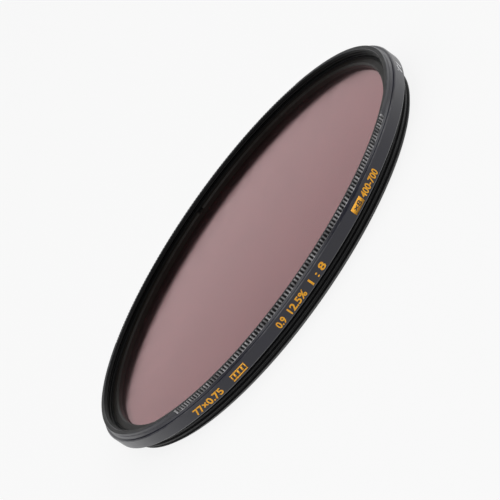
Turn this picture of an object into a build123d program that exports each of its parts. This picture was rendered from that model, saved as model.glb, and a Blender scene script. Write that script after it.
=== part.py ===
"""Screw-in neutral density filter, 77 mm, lying on its threaded end with its front face up.

Three pieces share the Z axis: the turned frame, the filter glass in its pocket, and the thin
ring that screws down on the glass from the front. Z = 0 is the end of the male thread. The
middle of the printed band faces -Y. All lengths are in millimetres and all angles in degrees.
"""
import os
from math import cos, pi, radians, sin, tan

from build123d import *

# Threads
thread_diameter = 77.0         # nominal size of the male thread and of its mate at the front
thread_pitch = 0.75
thread_length = 2.85           # from the thread end up to the printed band
thread_relief_width = 0.45     # undercut between the thread and the band
thread_end_chamfer_width = 0.8
thread_end_chamfer_height = 0.6

# Printed band and knurled front rim
band_step = 1.5                # how far the band stands out past the thread
band_height = 2.2
band_edge_break = 0.15
rim_step = 0.75                # how far the rim lies inside the band
rim_height = 1.0
rim_land_width = 0.73          # flat front face left outside the entry chamfer
shoulder_height = 0.35         # cone between the rim and the band
shoulder_land_width = 0.5      # from the foot of that cone out to the band
edge_break = 0.1

# Knurl, cut in two opposite sectors of the rim
knurl_sector_angle = 94.0
knurl_pitch = 0.664
knurl_crest_width = 0.1        # flat left between two grooves
knurl_groove_angle = 90.0
knurl_relief = 0.05            # the cutter takes this off the crests
knurl_ledge_height = 0.28      # the cutter stops this far above the band
knurl_middles = (-90.0, 90.0)

# Glass, its seat and the ring that holds it
glass_thickness = 2.0
glass_clearance = 0.05         # radial play of the glass in its pocket
glass_bevel = 0.25
pocket_wall = 1.2              # from the crest of the male thread in to the pocket
seat_width = 1.0               # how far the seat and the retaining ring reach over the glass
seat_height = 1.65             # top of the seat above the thread end
rear_bevel_width = 0.6
rear_bevel_height = 0.9
retaining_ring_height = 1.05
retaining_ring_bevel = 0.3
retaining_bore_step = 0.45     # from the front thread in to the retaining ring's own thread
retaining_thread_clearance = 0.03
retaining_ring_recess = 0.1    # how far the ring's top lies below the mouth of its thread
retaining_thread_runout = 0.25   # its thread runs on this far below the ring
spanner_slot_width = 1.2
spanner_slot_depth = 0.35
spanner_slot_middles = (90.0, 270.0)

# Depths of a standard metric thread, as shares of its pitch
MALE_THREAD_DEPTH_SHARE = 0.6134
FEMALE_THREAD_DEPTH_SHARE = 0.5413

CUT_MARGIN = 0.5               # how far a cutter reaches past the surface that it opens

# Radii
thread_crest_radius = thread_diameter / 2
thread_root_radius = thread_crest_radius - MALE_THREAD_DEPTH_SHARE * thread_pitch
front_bore_radius = thread_crest_radius - FEMALE_THREAD_DEPTH_SHARE * thread_pitch
band_radius = thread_crest_radius + band_step
rim_radius = band_radius - rim_step
rim_land_radius = rim_radius - rim_land_width
entry_chamfer = rim_land_radius - front_bore_radius
pocket_radius = thread_crest_radius - pocket_wall
aperture_radius = pocket_radius - seat_width
glass_radius = pocket_radius - glass_clearance
retaining_bore_radius = front_bore_radius - retaining_bore_step
retaining_ring_radius = retaining_bore_radius - retaining_thread_clearance
knurl_crest_radius = rim_radius - knurl_relief
groove_half_width = (knurl_pitch - knurl_crest_width) / 2
knurl_root_radius = knurl_crest_radius - groove_half_width / tan(radians(knurl_groove_angle / 2))

# Heights above the thread end
band_top = thread_length + band_height
front_height = band_top + rim_height
knurl_floor = band_top + knurl_ledge_height
shoulder_top = band_top + shoulder_height
relief_floor = thread_length - thread_relief_width
glass_top = seat_height + glass_thickness
retaining_bore_floor = glass_top - retaining_thread_runout
retaining_ring_top = glass_top + retaining_ring_height
front_bore_floor = retaining_ring_top + retaining_ring_recess


def turned(points):
    """Turn a closed outline, given as (radius, height) points, about the Z axis."""
    outline = Polyline(*[(radius, 0, height) for radius, height in points], close=True)
    return revolve(make_face(outline), axis=Axis.Z)


def frame_blank():
    """Frame as it leaves the lathe: male thread, band, shoulder, rim, two bores, pocket and seat."""
    relief_rise = thread_crest_radius - thread_root_radius
    outside = [
        (thread_crest_radius - thread_end_chamfer_width, 0),
        (thread_crest_radius, thread_end_chamfer_height),
        (thread_crest_radius, relief_floor - relief_rise),
        (thread_root_radius, relief_floor),
        (thread_root_radius, thread_length),
        (band_radius - band_edge_break, thread_length),
        (band_radius, thread_length + band_edge_break),
        (band_radius, band_top - band_edge_break),
        (band_radius - band_edge_break, band_top),
        (band_radius - shoulder_land_width, band_top),
        (rim_radius, shoulder_top),
        (rim_radius, front_height - edge_break),
        (rim_radius - edge_break, front_height),
    ]
    inside = [
        (rim_land_radius, front_height),
        (front_bore_radius, front_height - entry_chamfer),
        (front_bore_radius, front_bore_floor),
        (retaining_bore_radius, front_bore_floor),
        (retaining_bore_radius, retaining_bore_floor),
        (pocket_radius, retaining_bore_floor),
        (pocket_radius, seat_height),
        (aperture_radius, seat_height),
        (aperture_radius, rear_bevel_height),
        (aperture_radius + rear_bevel_width, 0),
    ]
    return turned(outside + inside)


def knurl_cutter():
    """Toothed sector that, drawn up through the rim, leaves a straight knurl on a flat ledge."""
    step = degrees_per_groove()
    groove_count = int(knurl_sector_angle / step)
    half_mouth = groove_half_width / knurl_crest_radius
    inner = []
    for index in range(groove_count):
        middle = radians((index - (groove_count - 1) / 2) * step)
        inner.append(polar_point(knurl_crest_radius, middle - half_mouth))
        inner.append(polar_point(knurl_root_radius, middle))
        inner.append(polar_point(knurl_crest_radius, middle + half_mouth))
    half_sector = radians(knurl_sector_angle / 2)
    outer_radius = band_radius + CUT_MARGIN
    corner_start = polar_point(knurl_crest_radius, -half_sector)
    corner_end = polar_point(knurl_crest_radius, half_sector)
    outer_start = polar_point(outer_radius, -half_sector)
    outer_end = polar_point(outer_radius, half_sector)
    teeth = Polyline(outer_start, corner_start, *inner, corner_end, outer_end)
    back = ThreePointArc(outer_end, polar_point(outer_radius, 0), outer_start)
    section = make_face(Curve() + [teeth, back])
    return Pos(0, 0, knurl_floor) * extrude(section, front_height - knurl_floor + CUT_MARGIN)


def degrees_per_groove():
    """Angle from one knurl groove to the next, with a whole number of steps in a turn."""
    return 360 / round(2 * pi * knurl_crest_radius / knurl_pitch)


def polar_point(radius, angle):
    """Point in the XY plane at a radius and an angle in radians from +X."""
    return (radius * cos(angle), radius * sin(angle))


def frame_ring():
    """One turned ring with its knurl cut in two opposite sectors of the rim."""
    frame = frame_blank()
    cutter = knurl_cutter()
    for middle in knurl_middles:
        frame -= Rot(0, 0, middle) * cutter
    return frame


def filter_glass():
    """Flat disc with ground bevels, resting on the seat."""
    outline = [
        (0, seat_height),
        (glass_radius - glass_bevel, seat_height),
        (glass_radius, seat_height + glass_bevel),
        (glass_radius, glass_top - glass_bevel),
        (glass_radius - glass_bevel, glass_top),
        (0, glass_top),
    ]
    return turned(outline)


def retaining_ring():
    """Thin threaded ring on top of the glass, bevelled inside, with two spanner slots."""
    outline = [
        (aperture_radius, glass_top),
        (retaining_ring_radius, glass_top),
        (retaining_ring_radius, retaining_ring_top),
        (aperture_radius + retaining_ring_bevel, retaining_ring_top),
        (aperture_radius, retaining_ring_top - retaining_ring_bevel),
    ]
    ring = turned(outline)
    slot_length = retaining_ring_radius - aperture_radius + 2 * CUT_MARGIN
    slot_middle = (retaining_ring_radius + aperture_radius) / 2
    slot_cutter = Pos(slot_middle, 0, retaining_ring_top) * Box(
        slot_length, spanner_slot_width, 2 * spanner_slot_depth
    )
    for middle in spanner_slot_middles:
        ring -= Rot(0, 0, middle) * slot_cutter
    return ring


os.makedirs("parts", exist_ok=True)
export_step(frame_ring(), "parts/frame_ring.step")
export_step(filter_glass(), "parts/filter_glass.step")
export_step(retaining_ring(), "parts/retaining_ring.step")
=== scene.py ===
"""Looks of a 77 mm screw-in neutral density filter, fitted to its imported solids.

The filter lies on the end of its male thread, front face up, and the middle of its printed band
faces -Y. Sizes in the classes are millimetres, and the meshes are written in metres, in the same
frame as the solids. Three turned pieces stand for the three solids, and the print on the band is
a thin film of its own.
"""
from __future__ import annotations

import logging
from collections.abc import Iterable, Mapping
from dataclasses import dataclass, field, replace
from enum import Enum
from math import cos, pi, radians, sin, tan
from typing import Union

import bpy
import numpy as np
from mathutils import Matrix, Vector

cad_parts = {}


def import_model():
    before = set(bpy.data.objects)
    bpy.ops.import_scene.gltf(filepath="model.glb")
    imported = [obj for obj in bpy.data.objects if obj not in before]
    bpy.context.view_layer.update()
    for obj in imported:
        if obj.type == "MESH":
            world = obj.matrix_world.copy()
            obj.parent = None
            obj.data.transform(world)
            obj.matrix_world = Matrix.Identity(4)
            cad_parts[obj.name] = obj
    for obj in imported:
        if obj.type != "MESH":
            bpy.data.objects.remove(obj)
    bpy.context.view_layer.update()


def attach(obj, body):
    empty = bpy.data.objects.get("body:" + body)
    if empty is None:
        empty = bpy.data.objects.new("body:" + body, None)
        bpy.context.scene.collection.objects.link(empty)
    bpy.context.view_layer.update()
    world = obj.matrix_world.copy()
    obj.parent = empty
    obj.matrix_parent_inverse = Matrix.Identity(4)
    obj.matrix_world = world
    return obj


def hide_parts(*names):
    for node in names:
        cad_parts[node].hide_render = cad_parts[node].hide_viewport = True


LOG = logging.getLogger("neutral_density_filter")
MM = 0.001
FULL_TURN = 2 * pi
PHOTO_PIXELS = 500
BODY = "root"
NOISE_MIDDLE = (0.3, 0.7)  # most values of a noise lie between these

Colour = tuple[float, float, float]
Output = bpy.types.NodeSocket
Socket = Union[Output, float, Colour, tuple[float, float, float, float]]


class FrameFinish(Enum):
    """Finishes on the turned frame, in the order of its material slots."""

    SATIN = 0
    THREAD = 1
    BORE = 2
    KNURL = 3


class Paint(Enum):
    """Paints of the print on the band, in the order of its material slots."""

    GOLD = 0
    GREY = 1
    GROUND = 2


# Shaders


class ShaderGraph:
    """One material or world whose nodes are added and joined by short calls."""

    def __init__(self, owner: bpy.types.Material | bpy.types.World) -> None:
        """Empty the owner's node tree, ready for new nodes."""
        owner.use_nodes = True
        self.tree = owner.node_tree
        self.tree.nodes.clear()

    def node(
        self,
        kind: str,
        sockets: Mapping[str | int, Socket] | None = None,
        **settings: object,
    ) -> bpy.types.Node:
        """Add a node.

        Args:
            kind: Blender's name for the kind of node.
            sockets: value, or another node's output, for each named or numbered input.
            settings: the node's own settings.

        Returns:
            The new node.
        """
        node = self.tree.nodes.new(kind)
        for name, value in settings.items():
            setattr(node, name, value)
        for key, value in (sockets or {}).items():
            if isinstance(value, Output):
                self.tree.links.new(value, node.inputs[key])
            else:
                node.inputs[key].default_value = value
        return node

    def math(self, operation: str, *values: Socket) -> Output:
        """Add a Math node and return its output."""
        return self.node("ShaderNodeMath", dict(enumerate(values)), operation=operation).outputs[0]

    def spread(
        self, value: Socket, low: float, high: float, start: float = 0.0, stop: float = 1.0
    ) -> Output:
        """Map a value from start..stop to low..high, held at both ends, and return the output."""
        return self.node(
            "ShaderNodeMapRange", {0: value, 1: start, 2: stop, 3: low, 4: high}
        ).outputs[0]

    def vary(
        self, value: Socket, middle: float, reach: float, start: float = 0.0, stop: float = 1.0
    ) -> Output:
        """Map a value from start..stop to a stretch about a middle, and return the output."""
        return self.spread(value, middle - reach, middle + reach, start, stop)

    def blend(self, factor: Socket, first: Socket, second: Socket) -> Output:
        """Mix two colours by a factor and return the output."""
        return self.node(
            "ShaderNodeMix", {0: factor, 6: first, 7: second}, data_type="RGBA"
        ).outputs[2]

    def noise(self, vector: Output, scale: float, detail: float = 2.0) -> Output:
        """Add a noise texture on a vector and return its grey output."""
        return self.node(
            "ShaderNodeTexNoise", {"Vector": vector, "Scale": scale, "Detail": detail}
        ).outputs[0]

    def bump(self, height: Socket, depth: float, normal: Output | None = None) -> Output:
        """Raise the surface by up to a depth in millimetres and return its new normal."""
        sockets = {"Strength": 1.0, "Distance": depth * MM, "Height": height}
        if normal:
            sockets["Normal"] = normal
        return self.node("ShaderNodeBump", sockets).outputs[0]

    def object_point(self) -> Output:
        """Return the point's place in the object's own frame, in metres."""
        return self.node("ShaderNodeTexCoord").outputs["Object"]

    def turned_point(self) -> Output:
        """Return (radius, height, 0) of the point, the same all round, as tool marks are."""
        parts = self.node("ShaderNodeSeparateXYZ", {0: self.object_point()}).outputs
        x_squared = self.math("MULTIPLY", parts[0], parts[0])
        radius_squared = self.math("MULTIPLY_ADD", parts[1], parts[1], x_squared)
        radius = self.math("SQRT", radius_squared)
        return self.node("ShaderNodeCombineXYZ", {0: radius, 1: parts[2]}).outputs[0]

    def finish(self, kind: str, surface: Output) -> None:
        """Join a surface to a new output node of the given kind."""
        self.node(kind, {0: surface})


def rgba(colour: Colour) -> tuple[float, float, float, float]:
    """Return a colour with full alpha."""
    return (*colour, 1.0)


def shades(colour: Colour, share: float) -> list[tuple[float, float, float, float]]:
    """Return a colour made darker and lighter by a share of itself, with full alpha."""
    return [rgba(tuple(scale * part for part in colour)) for scale in (1 - share, 1 + share)]


@dataclass(frozen=True)
class Finish:
    """Named finish that makes its own material. Its noise scales are in cells to the metre."""

    name: str

    def material(self) -> bpy.types.Material:
        """Make the material and return it."""
        material = bpy.data.materials.new(self.name)
        graph = ShaderGraph(material)
        graph.finish("ShaderNodeOutputMaterial", self.surface(graph))
        return material

    def surface(self, graph: ShaderGraph) -> Output:
        """Add the finish's own nodes.

        Args:
            graph: the material's graph.

        Returns:
            The surface.
        """
        raise NotImplementedError


@dataclass(frozen=True)
class AnodisedFinish(Finish):
    """Anodised, turned aluminium: a dark dye coat over fine lathe marks, paler on its edges,
    partly rubbed and partly a painted highlight.
    """

    colour: Colour
    worn_and_glint_colour: Colour
    specular: float
    roughness: float
    roughness_spread: float
    mark_pitch: float
    mark_depth: float
    grain_size: float = 0.09
    grain_depth: float = 0.004
    patch_scale: float = 320.0
    dye_spread: float = 0.18
    scuff_scale: float = 900.0
    scuff_range: tuple[float, float] = (0.42, 0.66)
    least_wear_and_glint: float = 0.0
    wear_and_glint: float = 0.5

    def surface(self, graph: ShaderGraph) -> Output:
        """Make lathe marks and grain in a patchy dye.

        Lathe marks are noise of the point's radius and height. The blasted grain and the slow
        patches of the dye are noise of its place.
        """
        point = graph.object_point()
        marks = graph.noise(graph.turned_point(), 1 / (self.mark_pitch * MM), 3.0)
        grain = graph.noise(point, 1 / (self.grain_size * MM), 1.0)
        patches = graph.noise(point, self.patch_scale, 3.0)
        patchy = graph.spread(patches, 0.0, 1.0, *NOISE_MIDDLE)
        dye = graph.blend(patchy, *shades(self.colour, self.dye_spread))
        # Paler where the mask and the rubbing noise meet: partly rubbed edges, partly painted
        # highlight.
        wear_and_glint = graph.math("MULTIPLY", self.wear_and_glint_mask(graph), self.rubbed(graph))
        uneven = graph.math("MULTIPLY_ADD", marks, 0.5, graph.math("MULTIPLY", patches, 0.5))
        return graph.node(
            "ShaderNodeBsdfPrincipled",
            {
                "Base Color": graph.blend(wear_and_glint, dye, rgba(self.worn_and_glint_colour)),
                "Roughness": graph.vary(
                    uneven, self.roughness, self.roughness_spread, *NOISE_MIDDLE
                ),
                "Specular IOR Level": self.specular,
                "Normal": graph.bump(grain, self.grain_depth, graph.bump(marks, self.mark_depth)),
            },
        ).outputs[0]

    def rubbed(self, graph: ShaderGraph) -> Output:
        """Give how strongly the rubbing and the painted highlight show, as a coarse noise that
        comes and goes.
        """
        scuffs = graph.noise(graph.object_point(), self.scuff_scale, 4.0)
        return graph.spread(scuffs, self.least_wear_and_glint, self.wear_and_glint, *self.scuff_range)

    def wear_and_glint_mask(self, graph: ShaderGraph) -> Output:
        """Give the share of rubbed edge and painted highlight at each place, which is the mesh's
        own face attribute.
        """
        return graph.node("ShaderNodeAttribute", attribute_name="edge_wear_and_glint").outputs["Fac"]


@dataclass(frozen=True)
class KnurledFinish(AnodisedFinish):
    """Anodised knurl with painted glints on its teeth, brightest at the crests and partly rubbed
    bare; the grooves keep the dark dye.
    """

    root_radius: float = 38.95
    crest_radius: float = 39.2

    def wear_and_glint_mask(self, graph: ShaderGraph) -> Output:
        """Give the share of painted glint and rubbing at each place: the square of its way from
        the root to the crest.
        """
        radius = graph.node("ShaderNodeSeparateXYZ", {0: graph.turned_point()}).outputs[0]
        rise = graph.spread(radius, 0.0, 1.0, self.root_radius * MM, self.crest_radius * MM)
        return graph.math("POWER", rise, 2.0)


@dataclass(frozen=True)
class CoatedGlassFinish(Finish):
    """Dark glass under a mauve coating that mirrors its surroundings softly."""

    name: str = "coated_glass"
    colour: Colour = (0.52, 0.22, 0.235)
    tint_spread: float = 0.03
    drift_scale: float = 45.0
    metallic: float = 0.5
    ior: float = 1.5
    roughness: float = 0.16
    roughness_spread: float = 0.02
    wiping_scale: float = 260.0
    wiping_range: tuple[float, float] = (0.35, 0.65)

    def surface(self, graph: ShaderGraph) -> Output:
        """Make the coating drift and the mirror soften in places.

        The tint drifts a little over the disc, and faint wiping marks make the mirror a little
        softer. Both are slow noise of the point's place.
        """
        point = graph.object_point()
        drift = graph.spread(graph.noise(point, self.drift_scale, 2.0), 0.0, 1.0, *NOISE_MIDDLE)
        wiping = graph.noise(point, self.wiping_scale, 4.0)
        return graph.node(
            "ShaderNodeBsdfPrincipled",
            {
                "Base Color": graph.blend(drift, *shades(self.colour, self.tint_spread)),
                "Metallic": self.metallic,
                "Roughness": graph.vary(
                    wiping, self.roughness, self.roughness_spread, *self.wiping_range
                ),
                "IOR": self.ior,
                "Transmission Weight": 1.0,
            },
        ).outputs[0]


@dataclass(frozen=True)
class PaintFinish(Finish):
    """Thin paint with a fine mottle, a shade uneven where it was wiped into the engraving."""

    colour: Colour
    thin_colour: Colour
    roughness: float = 0.42
    roughness_spread: float = 0.06
    mottle_scale: float = 5200.0
    mottle_depth: float = 0.004
    thin_scale: float = 1500.0
    thin_range: tuple[float, float] = (0.45, 0.75)
    most_thinned: float = 0.6

    def surface(self, graph: ShaderGraph) -> Output:
        """Make mottle and thin places from noise of the point's place."""
        point = graph.object_point()
        mottle = graph.noise(point, self.mottle_scale, 3.0)
        thin = graph.noise(point, self.thin_scale, 3.0)
        thinned = graph.spread(thin, 0.0, self.most_thinned, *self.thin_range)
        return graph.node(
            "ShaderNodeBsdfPrincipled",
            {
                "Base Color": graph.blend(thinned, rgba(self.colour), rgba(self.thin_colour)),
                "Roughness": graph.vary(mottle, self.roughness, self.roughness_spread),
                "Normal": graph.bump(mottle, self.mottle_depth),
            },
        ).outputs[0]


# Meshes


def place(name: str, data: bpy.types.ID) -> bpy.types.Object:
    """Put a new object that carries the data in the scene and return it."""
    item = bpy.data.objects.new(name, data)
    bpy.context.scene.collection.objects.link(item)
    return item


def polar(radius: np.ndarray, angle: np.ndarray, height: np.ndarray) -> np.ndarray:
    """Place points by radius, angle and height.

    x is radius times the cosine of the angle, y is radius times its sine, and z is the height.

    Args:
        radius: distance from the Z axis.
        angle: radians from +X, growing towards +Y.
        height: distance along Z.

    Returns:
        Points with x, y and z along a new last axis.
    """
    radius, angle, height = np.broadcast_arrays(radius, angle, height)
    return np.stack([radius * np.cos(angle), radius * np.sin(angle), height], axis=-1)


def broken_corners(outline: np.ndarray, width: float) -> np.ndarray:
    """Cut each inner corner of an open outline by a small flat.

    A corner gives way to two points, one on each of the sides that meet in it, each at the given
    distance from the corner.

    Args:
        outline: points as rows of (radius, height).
        width: distance from the corner to each of its two new points.

    Returns:
        The new outline, with its two end points as they were.
    """
    corner = outline[1:-1]
    back = outline[:-2] - corner
    onward = outline[2:] - corner
    back = back / np.linalg.norm(back, axis=1, keepdims=True)
    onward = onward / np.linalg.norm(onward, axis=1, keepdims=True)
    pairs = np.stack([corner + width * back, corner + width * onward], axis=1)
    return np.concatenate([outline[:1], pairs.reshape(-1, 2), outline[-1:]])


def ring_faces(lower: np.ndarray, upper: np.ndarray) -> np.ndarray:
    """Join rows of points that run round the axis, each to the one above it, in four-sided faces.

    Args:
        lower: point numbers, one row or several.
        upper: point numbers of the rows that follow.

    Returns:
        Corners of the faces, one face in each row.
    """
    right = np.roll(lower, -1, axis=-1)
    upper_right = np.roll(upper, -1, axis=-1)
    return np.stack([lower, right, upper_right, upper], axis=-1).reshape(-1, 4)


class MeshBuilder:
    """Collects points, faces and hard edges as whole arrays, then writes them as one mesh."""

    def __init__(self) -> None:
        """Start with no points and no faces."""
        self.points: list[np.ndarray] = []
        self.faces: list[list[int]] = []
        self.finishes: list[np.ndarray] = []
        self.wear_and_glint: list[np.ndarray] = []
        self.hard: list[np.ndarray] = []
        self.count = 0

    def add_points(self, points: np.ndarray) -> np.ndarray:
        """Add points in millimetres.

        Args:
            points: x, y and z along the last axis.

        Returns:
            Their numbers, in the shape of the points without the last axis.
        """
        shape = points.shape[:-1]
        flat = points.reshape(-1, 3)
        numbers = np.arange(self.count, self.count + len(flat)).reshape(shape)
        self.points.append(flat)
        self.count += len(flat)
        return numbers

    def add_faces(
        self, corners: np.ndarray, finish: int | np.ndarray = 0, wear_and_glint: float | np.ndarray = 0.0
    ) -> None:
        """Add faces that all have the same number of corners.

        Args:
            corners: point numbers, one face in each row.
            finish: number of the material slot, for all the faces or for each.
            wear_and_glint: share of rubbed edge and painted highlight from 0 to 1, for all the
                faces or for each.
        """
        self.faces.extend(corners.tolist())
        self.finishes.append(np.broadcast_to(finish, len(corners)))
        self.wear_and_glint.append(np.broadcast_to(wear_and_glint, len(corners)))

    def harden(self, start: np.ndarray, end: np.ndarray) -> None:
        """Mark the edges between pairs of points as hard."""
        self.hard.append(np.stack([start.ravel(), end.ravel()], axis=1))

    def harden_rows(self, rows: np.ndarray) -> None:
        """Mark each edge along closed rows of points as hard."""
        self.harden(rows, np.roll(rows, -1, axis=-1))

    def build(
        self, name: str, finishes: Iterable[Finish], slot: str, replaced: str | None = None
    ) -> bpy.types.Object:
        """Write the mesh and tie its object to the part.

        Args:
            name: name of the piece.
            finishes: one finish for each material slot.
            slot: the record's material slot that the piece takes its finish from; not used.
            replaced: the node that it stands for, if it stands for one.

        Returns:
            The new object, at the origin, with its place in its mesh.
        """
        mesh = bpy.data.meshes.new(name)
        mesh.from_pydata((np.concatenate(self.points) * MM).tolist(), [], self.faces)
        for finish in finishes:
            mesh.materials.append(finish.material())
        faces = len(mesh.polygons)
        mesh.polygons.foreach_set("material_index", np.concatenate(self.finishes).astype(np.int32))
        mesh.polygons.foreach_set("use_smooth", np.ones(faces, dtype=bool))
        wear_and_glint = mesh.attributes.new("edge_wear_and_glint", "FLOAT", "FACE")
        wear_and_glint.data.foreach_set("value", np.concatenate(self.wear_and_glint).astype(np.float32))
        if self.hard:
            ends = np.empty(2 * len(mesh.edges), dtype=np.int32)
            mesh.edges.foreach_get("vertices", ends)
            found = np.isin(self._keys(ends.reshape(-1, 2)), self._keys(np.concatenate(self.hard)))
            hard = mesh.attributes.new("sharp_edge", "BOOLEAN", "EDGE")
            hard.data.foreach_set("value", found)
        mesh.validate()
        mesh.update()
        piece = place(name, mesh)
        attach(piece, BODY)
        if replaced:
            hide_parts(replaced)
        return piece

    def _keys(self, ends: np.ndarray) -> np.ndarray:
        """Return one whole number for each edge, the same whichever end comes first."""
        ends = np.sort(ends.astype(np.int64), axis=1)
        return ends[:, 0] * self.count + ends[:, 1]


# The three turned pieces


@dataclass
class FrameRing:
    """Turned ring with its male thread, printed band, knurled rim and front thread."""

    thread_crest: float = 38.5
    thread_root: float = 38.04
    thread_pitch: float = 0.75
    thread_row_step: float = 0.05
    crest_share: float = 0.125
    root_share: float = 0.2
    end_chamfer_radius: float = 37.7
    end_chamfer_height: float = 0.6
    relief_bottom: float = 1.94
    relief_floor: float = 2.4
    band_bottom: float = 2.85
    band_top: float = 5.05
    band_radius: float = 39.985
    band_edge_break: float = 0.15
    shoulder_foot: float = 39.5
    shoulder_top: float = 5.4
    rim_radius: float = 39.25
    rim_edge_break: float = 0.1
    front: float = 6.05
    land_radius: float = 38.52
    bore_crest: float = 38.094
    bore_chamfer_foot: float = 5.624
    bore_floor: float = 4.8
    bore_mouth_rows: int = 3
    bore_mouth_fade: float = 0.1
    bore_floor_fade: float = 0.2
    retainer_bore: float = 37.644
    retainer_bore_floor: float = 3.4
    pocket_radius: float = 37.3
    seat_height: float = 1.65
    aperture_radius: float = 36.3
    rear_bevel_height: float = 0.9
    rear_bevel_radius: float = 36.9
    corner_flat: float = 0.03
    knurl_steps: int = 371
    knurl_grooves: int = 96
    knurl_half_sector: float = 47.0
    knurl_middles: tuple[float, float] = (-90.0, 90.0)
    knurl_crest: float = 39.2
    knurl_root: float = 38.918
    knurl_crest_width: float = 0.1
    knurl_root_width: float = 0.04
    knurl_floor: float = 5.33
    knurl_end_step: float = 0.01
    plain_columns: int = 90
    satin: AnodisedFinish = AnodisedFinish(
        name="satin_black_anodise",
        colour=(0.0032, 0.0029, 0.0105),
        worn_and_glint_colour=(0.06, 0.06, 0.064),
        specular=0.58,
        roughness=0.33,
        roughness_spread=0.05,
        mark_pitch=0.11,
        mark_depth=0.0012,
    )
    thread: AnodisedFinish = AnodisedFinish(
        name="thread_black_anodise",
        colour=(0.005, 0.005, 0.0055),
        worn_and_glint_colour=(0.03, 0.03, 0.03),
        specular=0.42,
        roughness=0.5,
        roughness_spread=0.07,
        mark_pitch=0.07,
        mark_depth=0.0012,
    )
    # Blacker and far less glossy than the thread: partly a matt black bore, partly painted shade
    # where light is lost in the front thread and the bore.
    bore: AnodisedFinish = replace(
        thread, name="bore_black_painted_shade", colour=(0.002, 0.002, 0.002), specular=0.1
    )
    # Painted glints: a pale grey on the teeth, fullest at the crests, stands for highlights on the
    # knurl and partly for rubbed teeth.
    knurl: AnodisedFinish = KnurledFinish(
        name="knurled_black_anodise_painted_glints",
        colour=(0.004, 0.004, 0.005),
        worn_and_glint_colour=(0.55, 0.54, 0.55),
        specular=0.4,
        roughness=0.38,
        roughness_spread=0.06,
        mark_pitch=0.05,
        mark_depth=0.0012,
        scuff_range=(0.4, 0.6),
        least_wear_and_glint=0.3,
        wear_and_glint=1.0,
    )
    mesh: MeshBuilder = field(default_factory=MeshBuilder, repr=False)

    def columns(self) -> tuple[np.ndarray, ...]:
        """Work out the columns of points round the ring, half a turn at a time.

        Each groove has four columns: its two mouth edges and the two edges of its narrow floor.
        A sector starts and ends with a column on the crest radius, and the plain stretch after
        it starts one small step further on.

        Returns:
            Angles in radians, knurl radius at each, and whether each is in a knurled sector, is
            kept on the rows that have no knurl, and is an edge of a crest that faces outwards.
        """
        step = FULL_TURN / self.knurl_steps
        middle = (np.arange(self.knurl_grooves) - (self.knurl_grooves - 1) / 2) * step
        mouth = (step - self.knurl_crest_width / self.knurl_crest) / 2
        floor = self.knurl_root_width / self.knurl_root / 2
        groove = middle[:, None] + np.array([-mouth, -floor, floor, mouth])
        half = radians(self.knurl_half_sector)
        gap = self.knurl_end_step / self.rim_radius
        plain = np.linspace(half + gap, pi - half - gap, self.plain_columns)
        angle = np.concatenate([[-half], groove.ravel(), [half], plain])
        number = np.arange(len(angle)) - 1
        place = number % groove.shape[1]
        toothed = (number >= 0) & (number < groove.size)
        knurled = number <= groove.size
        coarse = ~toothed | (place == 0)
        crest = toothed & (place == 3)
        deep = toothed & ((place == 1) | (place == 2))
        radius = np.where(deep, self.knurl_root, self.knurl_crest)
        turned = angle + np.radians(self.knurl_middles)[:, None]
        return turned.ravel(), *np.tile(radius, (1, 2)), *np.tile([knurled, coarse, crest], (1, 2))

    def groove_share(self, angle: np.ndarray, height: np.ndarray) -> np.ndarray:
        """Give the depth of the thread's groove as a share of its full depth.

        The phase is the height in pitches less the angle in turns, so the groove climbs one
        pitch in a turn to the right. Across one pitch the share is 0 on the crest's flat, 1 on
        the root's, and between them half a straight flank and half a smooth step.

        Args:
            angle: radians round the axis.
            height: height above the thread's end.

        Returns:
            Shares from 0 on the crest to 1 at the root.
        """
        phase = height / self.thread_pitch - angle / FULL_TURN
        nearness = np.abs(2 * (phase % 1.0) - 1)
        flank = (1 - self.crest_share - nearness) / (1 - self.crest_share - self.root_share)
        flank = np.clip(flank, 0, 1)
        return 0.5 * flank + 0.5 * flank**2 * (3 - 2 * flank)

    def male_thread(self, angle: np.ndarray) -> np.ndarray:
        """Work out the rows of the male thread, from its end chamfer up to the relief.

        The radius is the smaller of two: the blank's, which is the end chamfer, the crest and
        the relief's slope, and the thread's, which is the crest less the groove's depth.

        Args:
            angle: angles of the columns.

        Returns:
            Points of the rows.
        """
        step = self.thread_row_step
        height = np.arange(step, self.relief_floor - step / 2, step)[:, None]
        blank = np.interp(
            height,
            [0, self.end_chamfer_height, self.relief_bottom, self.relief_floor],
            [self.end_chamfer_radius, self.thread_crest, self.thread_crest, self.thread_root],
        )
        depth = self.thread_crest - self.thread_root
        thread = self.thread_crest - depth * self.groove_share(angle, height)
        return polar(np.minimum(blank, thread), angle, height)

    def front_thread(self, angle: np.ndarray) -> np.ndarray:
        """Work out the rows of the front thread, from the entry chamfer down to its floor.

        The radius is the larger of two: the blank's, which is the chamfer and the bore, and the
        thread's, which is the bore plus the groove's depth. The groove fades out at both ends.

        Args:
            angle: angles of the columns.

        Returns:
            Points of the rows.
        """
        step = self.thread_row_step
        mouth = self.bore_chamfer_foot + self.bore_mouth_rows * step
        height = np.arange(mouth, self.bore_floor + step, -step)[:, None]
        blank = np.interp(
            height,
            [self.bore_floor, self.bore_chamfer_foot, self.front],
            [self.bore_crest, self.bore_crest, self.land_radius],
        )
        fade = np.interp(
            height,
            [
                self.bore_floor,
                self.bore_floor + self.bore_floor_fade,
                self.bore_chamfer_foot - self.bore_mouth_fade,
                self.bore_chamfer_foot + self.bore_mouth_fade,
            ],
            [0, 1, 1, 0],
        )
        depth = self.thread_crest - self.bore_crest
        thread = self.bore_crest + depth * fade * self.groove_share(angle, height)
        return polar(np.maximum(blank, thread), angle, height)

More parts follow.
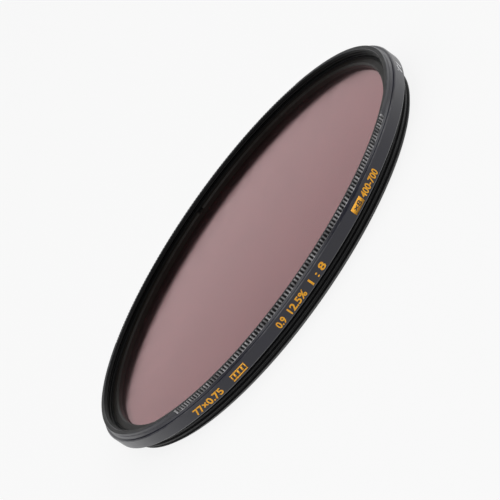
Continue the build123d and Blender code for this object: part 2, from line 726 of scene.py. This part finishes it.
    def band_outline(self) -> np.ndarray:
        """Return the outline from the relief, round the printed band, to the flat on its top."""
        edge = self.band_edge_break
        return np.array([
            (self.thread_root, self.relief_floor),
            (self.thread_root, self.band_bottom),
            (self.band_radius - edge, self.band_bottom),
            (self.band_radius, self.band_bottom + edge),
            (self.band_radius, self.band_top - edge),
            (self.band_radius - edge, self.band_top),
            (self.band_radius - edge - 2 * self.corner_flat, self.band_top),
        ])

    def rim_rows(
        self, angle: np.ndarray, knurl: np.ndarray, knurled: np.ndarray
    ) -> tuple[np.ndarray, np.ndarray, np.ndarray]:
        """Work out the rows of the shoulder, the rim and the front land.

        Each row has one place on the plain profile and one on the knurled profile, and a column
        takes the one for its own sector. On the knurled profile the radius is the smaller of
        the row's own and the tooth's.

        Args:
            angle: angles of the columns.
            knurl: radius of the knurl at each column.
            knurled: whether each column is in a knurled sector.

        Returns:
            Points of the rows, and for each row whether it is a hard edge on the plain profile
            and on the knurled one.
        """
        edge, flat = self.rim_edge_break, self.corner_flat
        slope = (self.shoulder_foot - self.rim_radius) / (self.shoulder_top - self.band_top)

        def cone(height: float) -> float:
            """Return the radius of the shoulder's cone at a height."""
            return self.shoulder_foot - slope * (height - self.band_top)

        top, front, rim = self.shoulder_top, self.front, self.rim_radius
        inner, foot, floor = self.land_radius, self.shoulder_foot, self.knurl_floor
        clear = self.knurl_crest - self.rim_radius
        # plain radius, plain height, knurled radius, knurled height, hard on each profile
        rows = np.array([
            (foot + flat, self.band_top, foot + flat, self.band_top, 0, 0),
            (foot, self.band_top, foot, self.band_top, 1, 1),
            (cone(floor - flat), floor - flat, cone(floor - flat), floor - flat, 0, 1),
            (cone(floor + flat), floor + flat, cone(floor) - flat, floor, 0, 1),
            (rim, top, rim, floor, 1, 1),
            (rim, front - edge, rim, front - edge, 1, 0),
            (rim + clear, front - edge - clear, rim + clear, front - edge - clear, 0, 1),
            (rim - edge, front, rim - edge, front, 1, 1),
            (inner + flat / 2, front, inner + flat / 2, front, 1, 1),
            (inner - flat / 2, front - flat / 2, inner - flat / 2, front - flat / 2, 1, 1),
        ])
        toothed = np.arange(len(rows))[:, None] >= 4
        knurled_radius = np.where(toothed, np.minimum(rows[:, 2:3], knurl), rows[:, 2:3])
        radius = np.where(knurled, knurled_radius, rows[:, 0:1])
        height = np.where(knurled, rows[:, 3:4], rows[:, 1:2])
        return polar(radius, angle, height), rows[:, 4] > 0, rows[:, 5] > 0

    def inner_outline(self) -> np.ndarray:
        """Return the outline from the front thread's floor, past the seat, to the thread's end."""
        lift = self.thread_row_step
        corners = np.array([
            (self.bore_crest, self.bore_floor + lift),
            (self.bore_crest, self.bore_floor),
            (self.retainer_bore, self.bore_floor),
            (self.retainer_bore, self.retainer_bore_floor),
            (self.pocket_radius, self.retainer_bore_floor),
            (self.pocket_radius, self.seat_height),
            (self.aperture_radius, self.seat_height),
            (self.aperture_radius, self.rear_bevel_height),
            (self.rear_bevel_radius, 0.0),
            (self.end_chamfer_radius, 0.0),
            (self.end_chamfer_radius + lift, lift),
        ])
        return broken_corners(corners, self.corner_flat)[:-1]

    def step_between(
        self, coarse_row: np.ndarray, fine_row: np.ndarray, coarse: np.ndarray, rising: bool
    ) -> None:
        """Join a row that has few points to one that also has the points of the knurl.

        Args:
            coarse_row: point numbers of the row with few points.
            fine_row: point numbers of the row with all the points.
            coarse: whether each point of the fine row has a partner in the coarse one.
            rising: whether the fine row is the upper one.
        """
        start = np.flatnonzero(coarse)
        spans = np.diff(np.append(start, start[0] + len(fine_row)))
        right = np.roll(coarse_row, -1)
        for span in np.unique(spans):
            chosen = spans == span
            run = fine_row[(start[chosen][:, None] + np.arange(span + 1)) % len(fine_row)]
            ends = np.stack([coarse_row[chosen], right[chosen]], axis=1)
            if rising:
                corners = np.concatenate([ends, run[:, ::-1]], axis=1)
            else:
                corners = np.concatenate([run, ends[:, ::-1]], axis=1)
            self.mesh.add_faces(corners, FrameFinish.SATIN.value)

    def build(self) -> bpy.types.Object:
        """Build the ring as one closed surface.

        The rows run up the outside from the thread's end, over the front and down the inside,
        and the last one joins the first.

        Returns:
            The finished piece.
        """
        mesh = self.mesh
        angle, knurl, knurled, coarse, crest = self.columns()
        few = angle[coarse]
        band = self.band_outline()
        inner = self.inner_outline()
        thread = mesh.add_points(self.male_thread(few))
        band_rows = mesh.add_points(polar(band[:, :1], few, band[:, 1:]))
        points, plain_hard, knurl_hard = self.rim_rows(angle, knurl, knurled)
        rim_rows = mesh.add_points(points)
        chamfer = mesh.add_points(polar(
            np.array([[self.land_radius - 2 * self.corner_flat]]), few,
            np.array([[self.front - 2 * self.corner_flat]]),
        ))
        bore = mesh.add_points(self.front_thread(few))
        inner_rows = mesh.add_points(polar(inner[:, :1], few, inner[:, 1:]))

        satin, knurl_finish = FrameFinish.SATIN.value, FrameFinish.KNURL.value
        outer = np.concatenate([thread, band_rows])
        band_start = len(thread) + 2
        on_band = np.arange(len(outer) - 1) >= band_start
        outer_finish = np.where(on_band, satin, FrameFinish.THREAD.value)
        # The band's two edge breaks are paler: partly rubbed edges, partly painted highlight
        # lines.
        worn_and_glint = np.zeros(len(outer) - 1)
        worn_and_glint[[band_start, band_start + 2]] = 1.0
        mesh.add_faces(
            ring_faces(outer[:-1], outer[1:]),
            np.repeat(outer_finish, len(few)),
            np.repeat(worn_and_glint, len(few)),
        )
        mesh.harden_rows(band_rows[:-1])

        self.step_between(band_rows[-1], rim_rows[0], coarse, rising=True)
        # Edge breaks, a flat on the knurled cone, the land's chamfer and the knurl's crests are
        # paler: partly rubbed edges, partly painted highlight lines.
        worn_and_glint = np.zeros((len(rim_rows) - 1, len(angle)))
        worn_and_glint[2, knurled] = 1.0
        worn_and_glint[5] = np.where(knurled, 0.0, 1.0)
        worn_and_glint[6] = 1.0
        worn_and_glint[8] = 1.0
        worn_and_glint[4:7, crest] = 1.0
        rim_finish = np.full(worn_and_glint.shape, satin)
        rim_finish[3:7, knurled] = knurl_finish
        rim_finish[7:] = FrameFinish.THREAD.value
        mesh.add_faces(ring_faces(rim_rows[:-1], rim_rows[1:]), rim_finish.ravel(), worn_and_glint.ravel())
        hard = np.where(knurled, knurl_hard[:, None], plain_hard[:, None])
        onward = np.roll(rim_rows, -1, axis=1)
        mesh.harden(rim_rows[hard], onward[hard])
        boundary = knurled != np.roll(knurled, 1)
        boundary |= knurled != np.roll(knurled, -1)
        upright = knurled | boundary
        mesh.harden(rim_rows[4:7][:, upright], rim_rows[5:8][:, upright])
        mesh.harden(rim_rows[2:4][:, boundary], rim_rows[3:5][:, boundary])
        self.step_between(chamfer[0], rim_rows[-1], coarse, rising=False)

        inside = np.concatenate([chamfer, bore, inner_rows, thread[:1]])
        mesh.add_faces(ring_faces(inside[:-1], inside[1:]), FrameFinish.BORE.value)
        mesh.harden_rows(inner_rows[1:])

        finishes = (self.satin, self.thread, self.bore, self.knurl)
        return mesh.build("turned_frame", finishes, "anodised_frame", "frame_ring")


@dataclass
class FilterGlass:
    """Coated disc with ground bevels, lying on the frame's seat."""

    radius: float = 37.25
    bottom: float = 1.65
    top: float = 3.65
    bevel: float = 0.25
    columns: int = 256
    ring_radii: tuple[float, ...] = (9.0, 18.0, 27.0, 34.0)
    finish: CoatedGlassFinish = CoatedGlassFinish()

    def build(self) -> bpy.types.Object:
        """Build the disc.

        The outline, as (radius, height), is turned about the Z axis: point = (radius times
        cosine, radius times sine, height). One point closes each face in its middle.

        Returns:
            The finished piece.
        """
        mesh = MeshBuilder()
        rings = np.array(self.ring_radii)
        flat = np.stack([rings, np.full(len(rings), self.bottom)], axis=1)
        edge = np.array([
            (self.radius - self.bevel, self.bottom),
            (self.radius, self.bottom + self.bevel),
            (self.radius, self.top - self.bevel),
            (self.radius - self.bevel, self.top),
        ])
        upper = np.stack([rings[::-1], np.full(len(rings), self.top)], axis=1)
        outline = np.concatenate([flat, edge, upper])
        angle = np.linspace(0, FULL_TURN, self.columns, endpoint=False)
        rows = mesh.add_points(polar(outline[:, :1], angle, outline[:, 1:]))
        poles = mesh.add_points(np.array([(0.0, 0.0, self.bottom), (0.0, 0.0, self.top)]))
        mesh.add_faces(ring_faces(rows[:-1], rows[1:]))
        for pole, ring in zip(poles, (rows[0][::-1], rows[-1])):
            middle = np.full(self.columns, pole)
            mesh.add_faces(np.stack([middle, ring, np.roll(ring, -1)], axis=1))
        mesh.harden_rows(rows[len(rings):len(rings) + len(edge)])
        return mesh.build("coated_disc", [self.finish], "coated_glass", "filter_glass")


@dataclass
class RetainingRing:
    """Thin ring over the glass, bevelled inside, with two slots for a spanner."""

    inner_radius: float = 36.3
    outer_radius: float = 37.614
    bottom: float = 3.65
    top: float = 4.7
    bevel: float = 0.3
    corner_flat: float = 0.04
    slot_width: float = 1.2
    slot_depth: float = 0.35
    slot_middles: tuple[float, float] = (pi / 2, 3 * pi / 2)
    slot_columns: int = 6
    plain_columns: int = 150
    wall_step: float = 0.004
    finish: AnodisedFinish = AnodisedFinish(
        name="retainer_black_anodise",
        colour=(0.005, 0.0035, 0.0025),
        worn_and_glint_colour=(0.02, 0.019, 0.018),
        specular=0.13,
        roughness=0.42,
        roughness_spread=0.05,
        mark_pitch=0.09,
        mark_depth=0.0015,
    )

    def columns(self) -> tuple[np.ndarray, np.ndarray, np.ndarray]:
        """Work out the columns of points round the ring.

        Returns:
            For each column, the angle of the line that it lies beside, its sideways distance
            from that line, and whether it is in a slot. A plain column lies on its own line.
        """
        half = self.slot_width / 2
        edges = half + self.wall_step
        inside = np.linspace(-half, half, self.slot_columns)
        margin = 2 * edges / self.inner_radius
        plain = np.linspace(margin, pi - margin, self.plain_columns)
        offset = np.concatenate([[-edges], inside, [edges], np.zeros(len(plain))])
        turn = np.concatenate([np.zeros(len(inside) + 2), plain])
        cut = (np.abs(offset) <= half) & (turn == 0)
        line = turn + np.array(self.slot_middles)[:, None]
        return line.ravel(), np.tile(offset, 2), np.tile(cut, 2)

    def build(self) -> bpy.types.Object:
        """Build the ring as one closed surface.

        Along its line a point lies at the root of radius squared less offset squared, so each
        row is a true circle and the slot's walls are parallel. In a slot the height is the
        smaller of the row's own and the slot floor's.

        Returns:
            The finished piece.
        """
        mesh = MeshBuilder()
        flat = self.corner_flat
        outline = np.array([
            (self.inner_radius, self.bottom),
            (self.outer_radius - flat, self.bottom),
            (self.outer_radius, self.bottom + flat),
            (self.outer_radius, self.top - flat),
            (self.outer_radius - flat, self.top),
            (self.inner_radius + self.bevel, self.top),
            (self.inner_radius, self.top - self.bevel),
        ])
        line, offset, cut = self.columns()
        radius, height = outline[:, :1], outline[:, 1:]
        height = np.where(cut, np.minimum(height, self.top - self.slot_depth), height)
        along = np.sqrt(radius**2 - offset**2)
        points = np.stack([
            along * np.cos(line) - offset * np.sin(line),
            along * np.sin(line) + offset * np.cos(line),
            height,
        ], axis=-1)
        rows = mesh.add_points(points)
        closed = np.concatenate([rows, rows[:1]])
        worn_and_glint = np.zeros(len(rows))
        worn_and_glint[3:6] = (1.0, 0.1, 0.3)
        mesh.add_faces(ring_faces(closed[:-1], closed[1:]), 0, np.repeat(worn_and_glint, rows.shape[1]))
        mesh.harden_rows(rows)
        wall = (cut != np.roll(cut, 1)) | (cut != np.roll(cut, -1))
        mesh.harden(closed[:-1][:, wall], closed[1:][:, wall])
        return mesh.build("retainer", [self.finish], "anodised_retainer", "retaining_ring")


# The print


@dataclass
class BandPrint:
    """Numerals and marks printed round the band, wrapped on it as a thin film.

    Angles are in degrees from the band's middle, and grow to the right as the print is read.
    """

    band_radius: float = 39.985
    middle_height: float = 3.82
    figure_height: float = 1.24
    film: float = 0.007
    stroke_weight: float = 0.05
    line_width: float = 0.22
    slant: float = 0.18
    grid_step: float = 0.25
    bar_weight: float = 1.5
    box_inset: float = 0.18
    box_figure_share: float = 0.66
    grey_figure_height: float = 1.0
    gold_figures: tuple[tuple[str, float, float], ...] = (
        ("77×0.75", -42.3, -31.9),
        ("0.9", -11.7, -9.1),
        ("12.5%", -7.5, -1.7),
        ("1 : 8", 0.4, 5.8),
        ("400-700", 23.4, 30.9),
    )
    gold: PaintFinish = PaintFinish("gold_paint", (1.0, 0.47, 0.025), (1.0, 0.4, 0.02))
    grey: PaintFinish = PaintFinish("grey_paint", (0.9, 0.91, 0.93), (0.7, 0.71, 0.73))
    ground: PaintFinish = PaintFinish("ground_paint", (0.012, 0.012, 0.014), (0.02, 0.02, 0.022))
    mesh: MeshBuilder = field(default_factory=MeshBuilder, repr=False)

    def wrap(self, flat: np.ndarray, degrees: float) -> np.ndarray:
        """Wrap flat points on the band.

        The sideways distance divided by the band's radius is an angle, which is added to the
        given one. The upward distance becomes height, and the depth is added to the radius.

        Args:
            flat: points as sideways distance, upward distance and depth.
            degrees: where their origin goes, from the band's middle.

        Returns:
            The wrapped points.
        """
        angle = radians(degrees) - pi / 2 + flat[..., 0] / self.band_radius
        radius = self.band_radius + flat[..., 2]
        return polar(radius, angle, self.middle_height + flat[..., 1])

    def figures(
        self,
        text: str,
        start: float,
        end: float,
        paint: Paint,
        height: float | None = None,
        base: float = 0.0,
    ) -> None:
        """Print numerals that fill a stretch of the band.

        The flat numerals are made a mesh first. Their box is then stretched to the given
        height and to the arc between the two angles, and wrapped.

        Args:
            text: the numerals and signs.
            start: angle where they start.
            end: angle where they end.
            paint: the paint.
            height: height of the figures, if it isn't the usual one.
            base: depth of the film that they lie on.
        """
        curve = bpy.data.curves.new("figures", "FONT")
        curve.body = text
        curve.size = 2.0
        curve.offset = self.stroke_weight
        curve.extrude = 0.5
        curve.resolution_u = 6
        carrier = place("figures", curve)
        bpy.context.view_layer.update()
        flat_mesh = bpy.data.meshes.new_from_object(carrier)
        count = len(flat_mesh.vertices)
        points = np.empty(3 * count)
        flat_mesh.vertices.foreach_get("co", points)
        points = points.reshape(-1, 3)
        low, high = points.min(axis=0), points.max(axis=0)
        width = radians(end - start) * self.band_radius
        size = np.array([width, height or self.figure_height, self.film])
        points = (points - low) / (high - low) * size
        points[:, 1] -= size[1] / 2
        points[:, 2] += base
        numbers = self.mesh.add_points(self.wrap(points, start))
        by_corners: dict[int, list[list[int]]] = {}
        for polygon in flat_mesh.polygons:
            by_corners.setdefault(len(polygon.vertices), []).append(list(polygon.vertices))
        for corners in by_corners.values():
            self.mesh.add_faces(numbers[np.array(corners)], paint.value)
        bpy.data.objects.remove(carrier)
        bpy.data.curves.remove(curve)
        bpy.data.meshes.remove(flat_mesh)

    def bar(
        self,
        degrees: float,
        left: float,
        right: float,
        low: float,
        high: float,
        paint: Paint,
        slant: float = 0.0,
    ) -> None:
        """Print a four-sided bar.

        A closed four-sided section, upright to the band, is carried along the bar in steps
        short enough to follow the band's curve. The slant moves a point sideways by its height
        above the print's middle times the slant.

        Args:
            degrees: where the bar's own origin lies, from the band's middle.
            left: sideways distance of its left end from that origin.
            right: sideways distance of its right end.
            low: height of its lower edge above the print's middle.
            high: height of its upper edge.
            paint: the paint.
            slant: sideways lean for each unit of height.
        """
        steps = max(2, int((right - left) / self.grid_step) + 1)
        along = np.linspace(left, right, steps)[:, None]
        rise = np.array([low, high, high, low])
        depth = np.array([0.0, 0.0, self.film, self.film])
        along, rise, depth = np.broadcast_arrays(along, rise, depth)
        flat = np.stack([along + slant * rise, rise, depth], axis=-1)
        section = self.mesh.add_points(self.wrap(flat, degrees))
        self.mesh.add_faces(ring_faces(section[1:], section[:-1]), paint.value)
        caps = np.stack([section[0], section[-1][::-1]])
        self.mesh.add_faces(caps, paint.value)

    def block(self, start: float, end: float) -> None:
        """Print an outlined, leaning block with three upright bars in it."""
        middle = (start + end) / 2
        half = self.figure_height / 2
        reach = radians(end - start) / 2 * self.band_radius - self.slant * half
        line = self.line_width
        for low, high in ((-half, -half + line), (half - line, half)):
            self.bar(middle, -reach, reach, low, high, Paint.GOLD, self.slant)
        for left in (-reach, reach - line):
            self.bar(middle, left, left + line, -half + line, half - line, Paint.GOLD, self.slant)
        thick = self.bar_weight * line
        for centre in (-reach / 2, 0.0, reach / 2):
            self.bar(
                middle, centre - thick / 2, centre + thick / 2,
                -half + line, half - line, Paint.GOLD, self.slant,
            )

    def filled_box(self, text: str, start: float, end: float) -> None:
        """Print a filled box with dark figures on it."""
        middle = (start + end) / 2
        half = self.figure_height / 2
        reach = radians(end - start) / 2 * self.band_radius
        self.bar(middle, -reach, reach, -half, half, Paint.GOLD)
        inset = self.box_inset * (end - start)
        height = self.box_figure_share * self.figure_height
        self.figures(text, start + inset, end - inset, Paint.GROUND, height, self.film)

    def build(self) -> bpy.types.Object:
        """Print the whole band: thread size, block, density, share of light passed and so on.

        Returns:
            The finished print.
        """
        for text, start, end in self.gold_figures:
            self.figures(text, start, end, Paint.GOLD)
        self.block(-28.3, -23.1)
        self.filled_box("×8", 18.9, 23.0)
        self.figures("77", 68.0, 74.0, Paint.GREY, self.grey_figure_height)
        paints = (self.gold, self.grey, self.ground)
        return self.mesh.build("band_print", paints, "anodised_frame")


# Stage, light and camera


@dataclass(frozen=True)
class Softbox:
    """Round soft lamp that points at the filter. Lengths in metres and power in watts."""

    name: str
    place: tuple[float, float, float]
    size: float
    power: float

    def build(self) -> None:
        """Place the lamp."""
        lamp = bpy.data.lights.new(self.name, "AREA")
        lamp.shape = "DISK"
        lamp.size = self.size
        lamp.energy = self.power
        softbox = place(self.name, lamp)
        softbox.location = self.place
        softbox.rotation_euler = (-Vector(self.place)).to_track_quat("-Z", "Y").to_euler()


@dataclass
class Stage:
    """Plain white floor and surroundings, with soft lamps. Lengths in metres.

    What mirrors see of the surroundings dims between two limits of the direction's rise.
    """

    floor_reach: float = 12.0
    floor_colour: Colour = (0.06, 0.06, 0.06)
    floor_glow: float = 0.87
    surround_light: float = 1.0
    horizon_light: float = 1.5
    upper_light: float = 0.25
    horizon_limit: float = 0.2
    upper_limit: float = 0.34
    softboxes: tuple[Softbox, ...] = (
        Softbox("front_softbox", (-0.1, -0.5, 0.8), 0.8, 3.3),
        Softbox("left_softbox", (-0.75, 0.1, 0.55), 0.6, 1.0),
        Softbox("right_softbox", (0.75, 0.1, 0.55), 0.6, 1.7),
    )

    def seen(self, graph: ShaderGraph) -> Output:
        """Return 1 for rays that show the white surroundings and 0 for rays that light by them."""
        path = graph.node("ShaderNodeLightPath").outputs
        straight = graph.math("MAXIMUM", path["Is Camera Ray"], path["Is Glossy Ray"])
        return graph.math("MAXIMUM", straight, path["Is Transmission Ray"])

    def floor_material(self) -> bpy.types.Material:
        """Make the floor: matt and pale, with a glow that only seeing rays meet."""
        material = bpy.data.materials.new("stage_floor")
        graph = ShaderGraph(material)
        matt = graph.node("ShaderNodeBsdfDiffuse", {"Color": rgba(self.floor_colour)})
        glow = graph.node(
            "ShaderNodeEmission",
            {"Strength": graph.math("MULTIPLY", self.seen(graph), self.floor_glow)},
        )
        both = graph.node("ShaderNodeAddShader", {0: matt.outputs[0], 1: glow.outputs[0]})
        graph.finish("ShaderNodeOutputMaterial", both.outputs[0])
        return material

    def build_floor(self) -> None:
        """Build the floor."""
        reach = self.floor_reach
        mesh = bpy.data.meshes.new("stage_floor")
        corners = [(-reach, -reach, 0), (reach, -reach, 0), (reach, reach, 0), (-reach, reach, 0)]
        mesh.from_pydata(corners, [], [(0, 1, 2, 3)])
        mesh.materials.append(self.floor_material())
        place("stage_floor", mesh)

    def build_surroundings(self) -> None:
        """Build the world, which lights evenly and is mirrored brightest above the horizon."""
        world = bpy.data.worlds.new("surroundings")
        bpy.context.scene.world = world
        graph = ShaderGraph(world)
        direction = graph.node("ShaderNodeTexCoord").outputs["Generated"]
        rise = graph.node("ShaderNodeSeparateXYZ", {0: direction}).outputs[2]
        mirrored = graph.spread(
            rise, self.horizon_light, self.upper_light, self.horizon_limit, self.upper_limit
        )
        strength = graph.node(
            "ShaderNodeMix", {0: self.seen(graph), 2: self.surround_light, 3: mirrored}
        ).outputs[0]
        around = graph.node("ShaderNodeBackground", {"Strength": strength})
        graph.finish("ShaderNodeOutputWorld", around.outputs[0])

    def build(self) -> None:
        """Build the floor, the surroundings and the lamps."""
        self.build_floor()
        self.build_surroundings()
        for softbox in self.softboxes:
            softbox.build()


@dataclass
class PhotoCamera:
    """Camera at the photograph's viewing angle, rolled as the photograph is."""

    elevation: float = 16.16
    distance: float = 400.0
    pixels_per_mm: float = 5.89
    shift_right: float = -0.819
    shift_up: float = 3.009
    roll: float = -55.217
    sensor: float = 36.0
    clip: tuple[float, float] = (0.01, 50.0)

    def build(self) -> None:
        """Place the camera.

        It stands back along the line of sight, moved a little to the right and up in its own
        plane, and is then rolled about that line. The lens makes one millimetre at the
        filter's middle as many pixels as the photograph does.
        """
        tilt, turn = radians(self.elevation), radians(self.roll)
        right = Vector((1, 0, 0))
        up = Vector((0, sin(tilt), cos(tilt)))
        back = Vector((0, -cos(tilt), sin(tilt)))
        stand = self.distance * back + self.shift_right * right + self.shift_up * up
        side = cos(turn) * right + sin(turn) * up
        top = cos(turn) * up - sin(turn) * right
        data = bpy.data.cameras.new("photo_camera")
        data.sensor_width = self.sensor
        data.lens = self.sensor * self.pixels_per_mm * self.distance / PHOTO_PIXELS
        data.clip_start, data.clip_end = self.clip
        camera = place("photo_camera", data)
        turn_matrix = Matrix((side, top, back)).transposed().to_4x4()
        camera.matrix_world = Matrix.Translation(stand * MM) @ turn_matrix
        bpy.context.scene.camera = camera


def main() -> None:
    """Load the solids, build each piece, the stage and the camera."""
    logging.basicConfig(level=logging.INFO, format="%(name)s: %(message)s")
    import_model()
    bpy.context.scene.view_settings.view_transform = "Standard"
    for part in (FrameRing(), FilterGlass(), RetainingRing(), BandPrint()):
        piece = part.build()
        LOG.info("%s: %d faces", piece.name, len(piece.data.polygons))
    Stage().build()
    PhotoCamera().build()
    bpy.context.view_layer.update()


if __name__ == "__main__":
    main()
